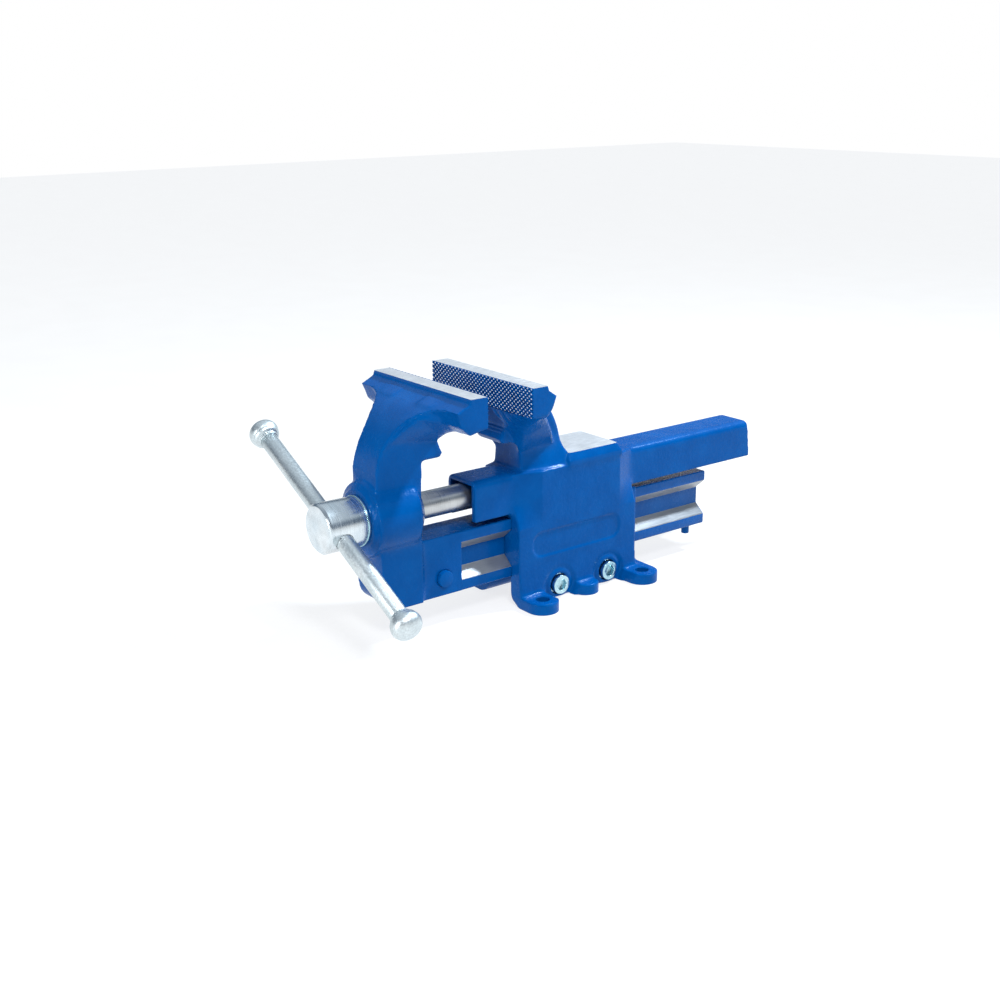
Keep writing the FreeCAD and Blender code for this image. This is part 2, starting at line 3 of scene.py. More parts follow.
import bmesh
import bpy
import numpy as np
from mathutils import Matrix, Vector
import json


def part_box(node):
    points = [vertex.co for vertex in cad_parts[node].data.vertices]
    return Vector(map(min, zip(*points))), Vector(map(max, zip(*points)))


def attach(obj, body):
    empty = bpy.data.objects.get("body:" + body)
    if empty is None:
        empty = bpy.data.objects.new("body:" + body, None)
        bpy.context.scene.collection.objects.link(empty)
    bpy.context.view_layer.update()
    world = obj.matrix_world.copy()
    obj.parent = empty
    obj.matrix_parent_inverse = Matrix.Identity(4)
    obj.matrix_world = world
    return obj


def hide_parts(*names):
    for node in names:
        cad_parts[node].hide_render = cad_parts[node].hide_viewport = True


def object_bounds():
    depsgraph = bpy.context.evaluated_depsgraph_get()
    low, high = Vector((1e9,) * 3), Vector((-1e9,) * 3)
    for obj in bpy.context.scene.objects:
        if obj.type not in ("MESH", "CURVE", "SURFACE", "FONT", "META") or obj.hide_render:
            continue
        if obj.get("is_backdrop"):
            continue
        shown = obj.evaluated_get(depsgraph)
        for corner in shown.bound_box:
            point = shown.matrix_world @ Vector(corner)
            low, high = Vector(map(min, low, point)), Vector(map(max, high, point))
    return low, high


bl_info = {
    "name": "Bench Vise",
    "version": (1, 0, 0),
    "blender": (4, 5, 0),
    "location": "View3D > Sidebar > Vise",
    "description": "Builds the finished look of a forged bench vise around its CAD frame",
    "category": "Object",
}

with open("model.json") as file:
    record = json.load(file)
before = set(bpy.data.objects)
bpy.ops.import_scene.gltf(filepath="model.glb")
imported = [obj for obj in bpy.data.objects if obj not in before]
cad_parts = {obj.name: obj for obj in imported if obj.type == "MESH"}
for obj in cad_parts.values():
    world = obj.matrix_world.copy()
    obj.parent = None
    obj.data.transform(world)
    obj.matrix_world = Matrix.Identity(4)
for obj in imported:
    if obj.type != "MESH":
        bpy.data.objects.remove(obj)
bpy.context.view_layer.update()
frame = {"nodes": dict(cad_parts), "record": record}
materials = {}      # by name, filled before the pieces are made

MM = 0.001
TOUCH = 1e-5        # points this close to a plane lie on it
OVER = 0.002        # how far cutters reach past what they cut
TURNED_SIDES = 64   # flats round a turned shape

# Sizes of the CAD model that its boxes don't give
EAR_HEIGHT = 10.5 * MM      # of the flange and its ears
FACE_HEIGHT = 26 * MM       # of the gripping faces
FACE_ZONE = 40 * MM         # points this close to the top can be on a gripping face
FACE_CUT = 38 * MM          # how far down each gripping face is machined

# Curved outer side of the moving jaw's neck: an arc, and (depth below the top, half width) down it
ARC_BACK, ARC_DROP, ARC_RADIUS = 3.5 * MM, 79.5 * MM, 74.7 * MM
FUNNEL = ((9.0, 75.0), (10.6, 53.0), (12.5, 42.5), (16.0, 35.0), (21.0, 28.5), (28.5, 23.5), (36.5, 21.2),
          (48.0, 20.0), (62.0, 19.5))

# Camera, as a place and its three directions
CAMERA_PLACE = (0.93646, -0.77913, 0.47280)
CAMERA_RIGHT, CAMERA_UP = (0.60284, 0.79781, -0.00954), (-0.23787, 0.19113, 0.95230)
CAMERA_BACK = (0.76158, -0.57182, 0.30500)


# ---- Settings, one group for each piece ----

def length(name, description, default_mm):
    """A length property, given in millimetres and kept in metres."""
    return bpy.props.FloatProperty(name=name, description=description, default=default_mm * MM,
                                   subtype="DISTANCE", unit="LENGTH", precision=5)


def number(name, description, default):
    return bpy.props.FloatProperty(name=name, description=description, default=default)


def rounds(name, description, default):
    return bpy.props.IntProperty(name=name, description=description, default=default)


class ForgingSettings(bpy.types.PropertyGroup):
    """How the two forged bodies are rounded and cut."""

    grain: length("Mesh grain", "Size of the cells that the skins are made of", 1.0)
    stock: length("Stock", "Extra thickness on a face until it is machined", 4.0)
    fillet_rounds: rounds("Fillet rounds", "Passes that fill inner corners", 60)
    soft_rounds: rounds("Soft rounds", "Passes that soften the webs", 16)
    edge_rounds: rounds("Edge rounds", "Passes that round outer edges", 4)
    channel_half: length("Channel half width", "Half the width of the spindle's channel", 16.4)
    channel_roof: length("Channel roof", "Height of the spindle channel's roof above the bench", 123.4)
    channel_floor: length("Channel floor", "Height of the spindle channel's floor above the bench", 89.7)
    guide_gap: length("Guide gap", "Play of the guide bar on its flanks", 0.15)
    side_gap: length("Side gap", "Room beside and above the guide bar", 0.6)
    cheek_gap_half: length("Cheek gap", "Half the space between the cheeks below the bar", 17.0)
    cheek_flare: length("Cheek flare", "Radius of the cheeks' inner lower edges", 14.0)
    hole_radius: length("Bolt hole radius", "Radius of the four mounting holes", 6.5)
    panel_corner: length("Panel corner", "Corner radius of the blank recessed panels", 11.0)
    panel_edge: length("Panel edge", "Width of the sloping edge of the recessed panels", 1.3)
    screw_rim: length("Screw rim", "Height of the raised rim round each clamp screw", 1.3)
    hole_edge: length("Bolt hole edge", "Bevel at the top of a mounting hole", 0.9)
    groove_start: length("Groove start", "The bar's grooves begin this far behind the gripping face", 10.0)


class SerrationSettings(bpy.types.PropertyGroup):
    """Diamond serrations of the gripping faces."""

    pitch_x: length("Pitch along the jaw", "Width of one diamond", 5.3)
    pitch_z: length("Pitch up the jaw", "Height of one diamond", 4.2)
    depth: length("Depth", "Depth of the grooves", 1.2)
    tip: number("Tip", "Size of a diamond's bare tip over the diamond", 0.38)


class SpindleSettings(bpy.types.PropertyGroup):
    """Screw thread of the spindle."""

    pitch: length("Pitch", "Travel for each turn", 5.0)
    thread_depth: length("Thread depth", "Depth of the thread", 2.5)


class StageSettings(bpy.types.PropertyGroup):
    """Camera and light."""

    focal_length: number("Focal length", "Camera focal length in millimetres", 48.02)
    key_power: number("Key power", "Power of the main light, to the right above, in watts", 9.0)
    rim_power: number("Rim power", "Power of the small light behind, in watts", 30.0)
    strip_power: number("Strip power", "Power of the low upright light in front, in watts", 5.0)
    sky: number("Sky", "Strength of the light all round", 1.0)


# ---- Reading the CAD frame ----

def cad_points(node):
    """All points of a CAD node, as an array in metres."""
    mesh = frame["nodes"][node].data
    points = np.empty(len(mesh.vertices) * 3)
    mesh.vertices.foreach_get("co", points)
    return points.reshape(-1, 3)


def plane_box(node, axis, value):
    """Lowest and highest corner of the CAD node's points that lie on a plane across an axis."""
    points = cad_points(node)
    points = points[np.abs(points[:, axis] - value) < TOUCH]
    return Vector(points.min(0)), Vector(points.max(0))


def mount(name):
    return next(entry for entry in frame["record"]["mounts"] if entry["name"] == name)


# ---- Meshes ----

def new_piece(name, mesh, finishes, body, nodes=()):
    """Links a finished mesh as a piece that rides on a body and stands for CAD nodes."""
    piece = bpy.data.objects.new(name, mesh)
    bpy.context.scene.collection.objects.link(piece)
    for finish in finishes:
        piece.data.materials.append(materials[finish])
    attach(piece, body)
    if nodes:
        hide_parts(*nodes)
    return piece


def mesh_from(bm, name):
    bmesh.ops.recalc_face_normals(bm, faces=bm.faces)
    mesh = bpy.data.meshes.new(name)
    bm.to_mesh(mesh)
    bm.free()
    return mesh


def box_shape(low, high):
    bm = bmesh.new()
    bmesh.ops.create_cube(bm, size=1.0)
    low, high = Vector(low), Vector(high)
    for vert in bm.verts:
        vert.co = Vector(lo + (co + 0.5) * (hi - lo) for lo, hi, co in zip(low, high, vert.co))
    return mesh_from(bm, "box")


def prism_shape(points, sweep):
    """Closed prism from a ring of points swept along a vector."""
    bm = bmesh.new()
    sweep = Vector(sweep)
    start = [bm.verts.new(point) for point in points]
    end = [bm.verts.new(Vector(point) + sweep) for point in points]
    bm.faces.new(start)
    bm.faces.new(list(reversed(end)))
    for here, beside in zip(range(len(points)), list(range(1, len(points))) + [0]):
        bm.faces.new([start[here], start[beside], end[beside], end[here]])
    bm.normal_update()
    bmesh.ops.triangulate(bm, faces=[face for face in bm.faces if len(face.verts) > 4])
    return mesh_from(bm, "prism")


def lathe_shape(profile, start, axis):
    """Closed turned shape from (distance along the axis, radius) points that start and end on the axis."""
    bm = bmesh.new()
    turn = Vector((0, 0, 1)).rotation_difference(Vector(axis))
    place = Matrix.Translation(Vector(start)) @ turn.to_matrix().to_4x4()
    rings = []
    for along, radius in profile:
        if radius < TOUCH:
            rings.append([bm.verts.new(place @ Vector((0, 0, along)))])
        else:
            angles = [2 * math.pi * step / TURNED_SIDES for step in range(TURNED_SIDES)]
            points = [(radius * math.cos(angle), radius * math.sin(angle), along) for angle in angles]
            rings.append([bm.verts.new(place @ Vector(point)) for point in points])
    for low, high in zip(rings, rings[1:]):
        for step in range(TURNED_SIDES):
            beside = (step + 1) % TURNED_SIDES
            corners = [low[step % len(low)], low[beside % len(low)], high[beside % len(high)],
                       high[step % len(high)]]
            unique = list(dict.fromkeys(corners))
            if len(unique) > 2:
                bm.faces.new(unique)
    return mesh_from(bm, "lathe")


def rod_shape(radius, start, end):
    start, end = Vector(start), Vector(end)
    reach = (end - start).length
    return lathe_shape([(0, 0), (0, radius), (reach, radius), (reach, 0)], start, end - start)


def temporary(mesh):
    piece = bpy.data.objects.new("temporary", mesh)
    bpy.context.scene.collection.objects.link(piece)
    return piece


def applied(piece):
    """Mesh of a temporary object with its modifiers, after which the object is removed."""
    bpy.context.view_layer.update()
    mesh = bpy.data.meshes.new_from_object(piece.evaluated_get(bpy.context.evaluated_depsgraph_get()))
    bpy.data.objects.remove(piece)
    mesh.materials.clear()
    return mesh


def carve(mesh, cutters):
    """Cuts closed meshes out of a closed mesh, one after another."""
    piece = temporary(mesh)
    tools = [temporary(cutter) for cutter in cutters]
    for tool in tools:
        cut = piece.modifiers.new("cut", "BOOLEAN")
        cut.operation = "DIFFERENCE"
        cut.solver = "MANIFOLD"
        cut.object = tool
    result = applied(piece)
    for tool in tools:
        bpy.data.objects.remove(tool)
    return result


def fused_by_voxels(points, mesh, stock, size):
    """One closed skin around a CAD mesh, whose points may have been moved, and the stock shapes."""
    bm = bmesh.new()
    bm.from_mesh(mesh)
    for vert, point in zip(bm.verts, points):
        vert.co = point
    for shape in stock:
        bm.from_mesh(shape)
    joined = bpy.data.meshes.new("joined")
    bm.to_mesh(joined)
    bm.free()
    piece = temporary(joined)
    voxels = piece.modifiers.new("voxels", "REMESH")
    voxels.mode = "VOXEL"
    voxels.voxel_size = size
    return applied(piece)


def mesh_arrays(mesh):
    points = np.empty(len(mesh.vertices) * 3)
    mesh.vertices.foreach_get("co", points)
    edges = np.empty(len(mesh.edges) * 2, np.int64)
    mesh.edges.foreach_get("vertices", edges)
    return points.reshape(-1, 3), edges.reshape(-1, 2)


def neighbour_pull(points, edges, degree):
    """Vector from each point to the mean of its neighbours."""
    first, second = edges.T
    total = np.empty_like(points)
    for axis in range(3):
        total[:, axis] = (np.bincount(first, points[second, axis], len(points))
                          + np.bincount(second, points[first, axis], len(points)))
    return total / degree[:, None] - points


def point_normals(mesh, points):
    mesh.vertices.foreach_set("co", points.ravel())
    mesh.update()
    normals = np.empty(len(points) * 3)
    mesh.vertices.foreach_get("normal", normals)
    return normals.reshape(-1, 3)


def relax(mesh, passes):
    """Moves points towards their neighbours. Each pass is (rounds, weights, fill_only)."""
    points, edges = mesh_arrays(mesh)
    degree = np.bincount(edges.ravel(), minlength=len(points)).astype(float)
    degree[degree == 0] = 1
    for rounds, weight, fill_only in passes:
        strength = weight(points)[:, None]
        for count in range(rounds):
            pull = neighbour_pull(points, edges, degree)
            if fill_only:
                if count % 4 == 0:
                    normals = point_normals(mesh, points)
                pull = normals * np.clip((pull * normals).sum(1), 0, None)[:, None]
            points = points + strength * pull
    mesh.vertices.foreach_set("co", points.ravel())
    mesh.update()


def ramp(values, start, end):
    """Smooth 0 to 1 as values go from start to end."""
    share = np.clip((values - start) / (end - start), 0, 1)
    return share * share * (3 - 2 * share)


def rounded_distance(across, up, low, high, radius):
    """Distance outside a rectangle with round corners, below zero inside it."""
    out = np.abs(across - (low[0] + high[0]) / 2) - (high[0] - low[0]) / 2 + radius
    over = np.abs(up - (low[1] + high[1]) / 2) - (high[1] - low[1]) / 2 + radius
    return np.hypot(np.maximum(out, 0), np.maximum(over, 0)) + np.minimum(np.maximum(out, over), 0) - radius


def press_sides(mesh, flat_from, depth_field):
    """Moves the points of both side faces inwards by a depth worked out from their Y and Z."""
    points = mesh_arrays(mesh)[0]
    reach = np.abs(points[:, 0])
    share = ramp(reach, flat_from, flat_from + 2 * MM)
    points[:, 0] -= np.sign(points[:, 0]) * share * depth_field(points[:, 1], points[:, 2])
    mesh.vertices.foreach_set("co", points.ravel())
    mesh.update()


def finish_mesh(mesh, angle=32.0):
    """Smooth shading with sharp machined edges."""
    for polygon in mesh.polygons:
        polygon.use_smooth = True
    mesh.set_sharp_from_angle(angle=math.radians(angle))


def paint_faces(mesh, tests):
    """Gives faces a material index. Each test is (index, function of centre and normal arrays)."""
    count = len(mesh.polygons)
    centres, normals = np.empty(count * 3), np.empty(count * 3)
    mesh.polygons.foreach_get("center", centres)
    mesh.polygons.foreach_get("normal", normals)
    centres, normals = centres.reshape(-1, 3), normals.reshape(-1, 3)
    index = np.zeros(count, np.int32)
    for value, test in tests:
        index[test(centres, normals)] = value
    mesh.polygons.foreach_set("material_index", index)


def finished(node, width, finish, body, segments=2):
    """Piece that stands for one CAD node: its mesh with the edges bevelled."""
    bm = bmesh.new()
    bm.from_mesh(frame["nodes"][node].data)
    bmesh.ops.remove_doubles(bm, verts=bm.verts, dist=1e-6)
    bmesh.ops.dissolve_limit(bm, angle_limit=math.radians(0.5), verts=bm.verts, edges=bm.edges)
    piece = temporary(mesh_from(bm, node + "_soft"))
    bevel = piece.modifiers.new("bevel", "BEVEL")
    bevel.width = width
    bevel.segments = segments
    bevel.limit_method = "ANGLE"
    bevel.angle_limit = math.radians(35)
    bevel.use_clamp_overlap = True
    mesh = applied(piece)
    finish_mesh(mesh, 40.0)
    new_piece(node + "_finish", mesh, [finish], body, [node])


# ---- Materials ----

def colour(code):
    """Linear colour of an sRGB hex code."""
    parts = [int(code[place:place + 2], 16) / 255 for place in (1, 3, 5)]
    return [part / 12.92 if part <= 0.04045 else ((part + 0.055) / 1.055) ** 2.4 for part in parts] + [1.0]


def add_node(tree, kind, values=None, links=None, **settings):
    """Adds a shader node, sets it and its sockets, and links sockets into it."""
    node = tree.nodes.new(kind)
    for name, value in settings.items():
        setattr(node, name, value)
    for name, value in (values or {}).items():
        node.inputs[name].default_value = value
    for name, socket in (links or {}).items():
        tree.links.new(socket, node.inputs[name])
    return node


def start_material(name, **values):
    """Makes and keeps a material. Gives its nodes, its shader and the object coordinates in metres."""
    materials[name] = bpy.data.materials.new(name)
    materials[name].use_nodes = True
    tree = materials[name].node_tree
    shader = tree.nodes["Principled BSDF"]
    for key, value in values.items():
        shader.inputs[key.replace("_", " ")].default_value = value
    return tree, shader, add_node(tree, "ShaderNodeTexCoord").outputs["Object"]


def noise(tree, place, size, detail=2.0, roughness=0.5, stretch=(1, 1, 1)):
    """Noise with features of a size in metres, drawn out along an axis by stretch."""
    scaled = add_node(tree, "ShaderNodeMapping", {"Scale": [1 / part for part in stretch]}, {"Vector": place})
    return add_node(tree, "ShaderNodeTexNoise", {"Scale": 1 / size, "Detail": detail, "Roughness": roughness},
                    {"Vector": scaled.outputs["Vector"]}).outputs["Fac"]


def ramped(tree, factor, stops):
    """Colour ramp from (position, hex code) stops."""
    ramp_node = add_node(tree, "ShaderNodeValToRGB", links={"Fac": factor})
    elements = ramp_node.color_ramp.elements
    while len(elements) < len(stops):
        elements.new(0.5)
    for element, (position, code) in zip(elements, stops):
        element.position = position
        element.color = colour(code)
    return ramp_node.outputs["Color"]


def ranged(tree, factor, low, high, from_low=0.3, from_high=0.7):
    return add_node(tree, "ShaderNodeMapRange", {"From Min": from_low, "From Max": from_high, "To Min": low,
                                                 "To Max": high}, {"Value": factor}).outputs["Result"]


def bump(tree, heights, shader):
    """Stacks bumps. Each is (height socket, depth in metres)."""
    normal = None
    for height, depth in heights:
        links = {"Height": height}
        if normal is not None:
            links["Normal"] = normal
        node = add_node(tree, "ShaderNodeBump", {"Strength": 1.0, "Distance": depth}, links)
        normal = node.outputs["Normal"]
    tree.links.new(normal, shader.inputs["Normal"])


def blue_enamel():
    """Thick gloss enamel on a forging: deep blue, and wavy where the forged skin shows through it."""
    tree, shader, place = start_material("blue_enamel", Roughness=0.22, Specular_IOR_Level=0.12,
                                         Coat_Weight=0.05, Coat_Roughness=0.06)
    shader.inputs["Specular Tint"].default_value = colour("#5FB0F5")
    broad = noise(tree, place, 26 * MM, 3.0)
    tree.links.new(ramped(tree, broad, [(0.3, "#00478A"), (0.5, "#004B90"), (0.72, "#005096")]),
                   shader.inputs["Base Color"])
    tree.links.new(ranged(tree, noise(tree, place, 5 * MM, 4.0), 0.20, 0.32), shader.inputs["Roughness"])
    bump(tree, [(noise(tree, place, 9 * MM, 2.0), 0.35 * MM),
                (noise(tree, place, 2.6 * MM, 3.0, 0.6), 0.20 * MM),
                (noise(tree, place, 1.0 * MM, 2.0), 0.03 * MM)], shader)


def metal(name, base, rough, stretch, grain=0.5 * MM, depth=0.012 * MM, metallic=1.0):
    """Bare metal whose fine lines run along the stretched axis, with broad soft patches of tone."""
    tree, shader, place = start_material(name, Metallic=metallic)
    lines = noise(tree, place, grain, 3.0, 0.65, stretch)
    broad = noise(tree, place, 22 * MM, 2.0)
    tone = ramped(tree, broad, [(0.3, base[0]), (0.7, base[1])])
    streak = ramped(tree, lines, [(0.25, "#D8D8D8"), (0.75, "#FFFFFF")])
    mixed = add_node(tree, "ShaderNodeMix", data_type="RGBA", blend_type="MULTIPLY")
    mixed.inputs["Factor"].default_value = 1.0
    tree.links.new(tone, mixed.inputs[6])
    tree.links.new(streak, mixed.inputs[7])
    tree.links.new(mixed.outputs[2], shader.inputs["Base Color"])
    tree.links.new(ranged(tree, lines, *rough), shader.inputs["Roughness"])
    bump(tree, [(lines, depth)], shader)


def make_materials():
    """All materials, each named for the real one; the flank steel and the serration tips also carry painted
    shade and a painted highlight.
    """
    blue_enamel()
    # Surface-ground steel: pale, with fine straight grinding lines along the vise.
    metal("ground_steel", ("#F0F1F3", "#FDFDFE"), (0.45, 0.62), (1, 30, 1))
    # Ground flanks of the guide bar: the same grinding as the lands, in a darker copy whose darkness is
    # painted shade.
    metal("shaded_flank_steel", ("#A6AAAF", "#B6B9BD"), (0.42, 0.58), (1, 30, 1))
    # Turned spindle steel: fine rings round the axis and a soft sheen.
    metal("turned_steel", ("#C6C8C8", "#D6D8D8"), (0.26, 0.38), (30, 1, 30),
          depth=0.006 * MM)
    # Galvanised bar: pale, dull and a little cool, with cloudy patches.
    metal("galvanised_steel", ("#D3DFE3", "#E8F0F2"), (0.36, 0.48), (1, 1, 1),
          1.6 * MM, 0.03 * MM)
    # Bright zinc on the hub: bluish, nearly polished, with turning rings.
    metal("bright_zinc", ("#D9E6ED", "#EEF5F8"), (0.20, 0.32), (16, 1, 16),
          0.9 * MM, 0.004 * MM)
    # Zinc plate on fasteners: cool, bluish and shiny.
    metal("zinc_plate", ("#A6D2E0", "#CBEAF3"), (0.16, 0.28), (1, 1, 1), 1.0 * MM)
    # Turned bronze of the bush: warm brown gold.
    metal("bronze", ("#A9763B", "#BE8B4C"), (0.25, 0.4), (20, 1, 20))
    # Serration tips worn bare: real bare steel, but made near white and barely metallic so they show as
    # bright dots, which is a painted highlight.
    metal("bare_tips_painted_glint", ("#E6F4FF", "#FFFFFF"), (0.30, 0.42), (1, 1, 1), metallic=0.25)


# ---- Forged skins ----

def bolt_centres():
    sizes = mount("bench_bolts")["dims"]
    half_x, half_y = sizes["spacing_x_mm"] * MM / 2, sizes["spacing_y_mm"] * MM / 2
    return [Vector((x, y, 0)) for x in (-half_x, half_x) for y in (-half_y, half_y)]


def bar_section():
    """Corners of the guide bar's section on its +X side, from its rear end, lowest first."""
    points = cad_points("moving_jaw")
    points = points[np.abs(points[:, 1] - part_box("moving_jaw")[1].y) < TOUCH]
    corners = {(round(x, 5), round(z, 5)) for x, _, z in points if x > TOUCH}
    return sorted(corners, key=lambda corner: (corner[1], corner[0]))


def panel_floor_x(node):
    """Distance of the recessed panels' floors from the middle: the innermost CAD points on the cheeks."""
    points = cad_points(node)
    chosen = points[(np.abs(points[:, 1]) < 60 * MM) & (points[:, 2] > 30 * MM) & (points[:, 2] < 75 * MM)
                    & (points[:, 0] > 22 * MM)]
    return chosen[:, 0].min()


def edge_weight(co):
    """Softening of outer edges, less near the ends of the jaws."""
    return 0.5 * np.where(np.abs(co[:, 0]) > 70 * MM, 0.7, 1.0)


def forged_skin(node, points, shapes, settings, fill_weight, web_weight):
    """Skin of a forging, with its inner corners filled and its webs and edges softened."""
    mesh = fused_by_voxels(points, frame["nodes"][node].data, shapes, settings.grain)
    relax(mesh, [(settings.fillet_rounds, fill_weight, True), (settings.soft_rounds, web_weight, False),
                 (settings.edge_rounds, edge_weight, False)])
    return mesh


def ground_top(height):
    """Test for the faces of a ground top at a height."""
    return lambda co, up: (up[:, 2] > 0.98) & (np.abs(co[:, 2] - height) < 0.1 * MM)


def extended(points, node, grip_y, side, stock, tops):
    """CAD points with the machined faces moved out by the stock: gripping face, land and other tops."""
    moved = points.copy()
    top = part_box(node)[1].z
    grip = (np.abs(points[:, 1] - grip_y) < TOUCH) & (points[:, 2] > top - FACE_ZONE)
    moved[grip, 1] -= side * stock
    for height, slope, low, high in tops:
        on_top = np.abs(points[:, 2] - height) < TOUCH
        moved[on_top, 2] += stock
        middle = (np.array(low) + np.array(high)) / 2
        away = np.sign(points[on_top, :2] - middle[:2])
        moved[on_top, :2] -= away * slope * stock
    return moved


def channel_profile(settings, low_y):
    """Ring of points round the guide bar's channel, with the cheeks' gap below it."""
    corners = bar_section()
    (half, bottom), (_, low_edge), (web, low_web), (_, high_web), (_, high_edge), (_, top) = corners
    wide, thin = half + settings.side_gap, web + settings.side_gap
    shift = settings.side_gap * (low_web - low_edge) / (half - web) - settings.guide_gap
    gap, flare = settings.cheek_gap_half, settings.cheek_flare
    arc = [(gap + flare * (1 - math.cos(turn)), flare * (1 - math.sin(turn)))
           for turn in np.linspace(0, math.pi / 2, 9)]
    right = [(wide, top + settings.side_gap), (wide, high_edge + shift), (thin, high_web + shift),
             (thin, low_web - shift), (wide, low_edge - shift), (wide, bottom - settings.side_gap),
             (gap, bottom - settings.side_gap)] + arc + [(gap + flare, -settings.stock - OVER)]
    ring = right + [(-x, z) for x, z in reversed(right)]
    return [(x, low_y, z) for x, z in ring]


class VISE_OT_fixed_jaw(bpy.types.Operator):
    """Forged fixed jaw with its ground land and anvil"""

    bl_idname = "vise.fixed_jaw"
    bl_label = "Build fixed jaw"

    def execute(self, context):
        settings, teeth = context.scene.vise_forging, context.scene.vise_serrations
        node, extra = "fixed_jaw_body", settings.stock
        low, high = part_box(node)
        land_low, land_high = plane_box(node, 2, high.z)
        anvil_low, anvil_high = plane_box(node, 2, mount("anvil_face")["pos_m"][2])
        body_low_y, body_high_y = (corner.y for corner in plane_box(node, 2, 0.0))
        half, roof, floor = settings.channel_half, settings.channel_roof, settings.channel_floor
        grip = land_low.y
        points = extended(cad_points(node), node, grip, 1, extra,
                          [(high.z, 0.0, land_low, land_high), (anvil_low.z, 0.5, anvil_low, anvil_high)])
        points[np.abs(points[:, 2]) < TOUCH, 2] -= extra

        # Stock: the guide's and the spindle's channels, the bolt holes and the screws' seats start filled.
        bar_half, bar_top = bar_section()[-1]
        wide = bar_half + settings.side_gap + MM
        shapes = [box_shape((-wide, body_low_y + 0.6 * MM, -extra),
                            (wide, body_high_y - 0.6 * MM, bar_top + 2 * MM)),
                  box_shape((-half - MM, low.y, floor), (half + MM, high.y - 2 * MM, roof + MM))]
        hole, bevel = settings.hole_radius, settings.hole_edge
        below, ear_top = Vector((0, 0, -extra)), Vector((0, 0, EAR_HEIGHT))
        shapes += [rod_shape(hole + MM, centre + below, centre + ear_top) for centre in bolt_centres()]
        screw_low, screw_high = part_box("clamp_screws")
        screw_size = screw_high.z - screw_low.z
        head_radius = screw_size / 2 + 1.5 * MM
        screws = [Vector((0, y, (screw_low.z + screw_high.z) / 2))
                  for y in (screw_low.y + screw_size / 2, screw_high.y - screw_size / 2)]
        seat = Vector((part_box("clamp_screw_washers")[0].x, 0, 0))
        shapes += [rod_shape(head_radius + 2 * MM, centre - seat * 1.15, centre + seat * 1.15)
                   for centre in screws]
        panel_low, panel_high = plane_box(node, 0, panel_floor_x(node))
        cheek = screw_high.x - 4.5 * MM
        shapes.append(box_shape((-cheek, panel_low.y, panel_low.z), (cheek, panel_high.y, panel_high.z)))

        def side_depth(along, up):
            outside = rounded_distance(along, up, (panel_low.y, panel_low.z), (panel_high.y, panel_high.z),
                                       settings.panel_corner)
            depth = (cheek - panel_low.x) * (1 - ramp(outside, -settings.panel_edge, 0))
            for centre in screws:
                radius = np.hypot(along - centre.y, up - centre.z)
                rise = ramp(radius, head_radius - 2 * MM, head_radius + MM) * (
                    1 - ramp(radius, head_radius + 2 * MM, head_radius + 5.5 * MM))
                depth = depth - settings.screw_rim * rise
            return depth

        def fill_weight(co):
            below_webs = 1 - ramp(co[:, 2], 150 * MM, 165 * MM)
            beam = np.where((co[:, 1] > body_high_y + 2 * MM) & (co[:, 2] > floor - 3 * MM), 0.15, 1.0)
            return 0.6 * below_webs * beam * np.where(co[:, 2] < 14 * MM, 0.5, 1.0)

        def web_weight(co):
            web = ramp(co[:, 2], 128 * MM, 140 * MM) * (1 - ramp(co[:, 2], 196 * MM, 204 * MM))
            beside_neck = ramp(np.abs(co[:, 0]), 15 * MM, 18 * MM)
            return 0.5 * web * beside_neck * ramp(co[:, 1], grip + 3 * MM, grip + 8 * MM)

        mesh = forged_skin(node, points, shapes, settings, fill_weight, web_weight)
        press_sides(mesh, cheek - 4 * MM, side_depth)
        relax(mesh, [(1, edge_weight, False)])

        # Machining: base, gripping face, land, anvil, guide, spindle channel, holes, screw seats, serrations.
        hood_low_y, hood_high_y = low.y - OVER, high.y + OVER
        rim = extra + EAR_HEIGHT
        hole_profile = [(0, 0), (0, hole), (rim - bevel, hole), (rim + bevel, hole + 2 * bevel),
                        (rim + bevel, 0)]
        cutters = [box_shape((low.x - OVER, low.y - OVER, -2 * extra), (high.x + OVER, high.y + OVER, 0)),
                   box_shape((low.x - OVER, grip - extra * 2, high.z - FACE_CUT),
                             (high.x + OVER, grip, high.z + 2 * extra)),
                   box_shape((low.x - OVER, land_low.y - 2 * extra, high.z),
                             (high.x + OVER, body_high_y, high.z + 2 * extra)),
                   box_shape((-40 * MM, anvil_low.y - MM, anvil_low.z),
                             (40 * MM, anvil_high.y + MM, anvil_low.z + 2 * extra)),
                   prism_shape(channel_profile(settings, body_low_y - OVER),
                               (0, body_high_y - body_low_y + 2 * OVER, 0)),
                   box_shape((-half, hood_low_y, floor), (half, hood_high_y, roof)),
                   box_shape((-half, hood_low_y, floor - 2 * OVER), (half, body_low_y, roof - OVER)),
                   box_shape((-half, body_high_y, floor - 2 * OVER), (half, hood_high_y, roof - OVER))]
        cutters += [lathe_shape(hole_profile, centre + below, (0, 0, 1)) for centre in bolt_centres()]
        for centre in screws:
            cutters += [rod_shape(head_radius, centre + seat, centre + seat * 2),
                        rod_shape(head_radius + MM, centre - seat * 2, centre - seat),
                        rod_shape(screw_size / 3, centre - seat * 1.2, centre + seat * 1.2)]
        cutters.append(box_shape((low.x - OVER, grip - OVER, high.z - FACE_HEIGHT - MM),
                                 (high.x + OVER, grip + teeth.depth, high.z + OVER)))
        mesh = carve(mesh, cutters)
        paint_faces(mesh, [(1, ground_top(high.z)), (1, ground_top(anvil_low.z))])
        finish_mesh(mesh)
        new_piece("fixed_jaw_forging", mesh, ["blue_enamel", "ground_steel"], "fixed_jaw",
                  [node])
        return {"FINISHED"}


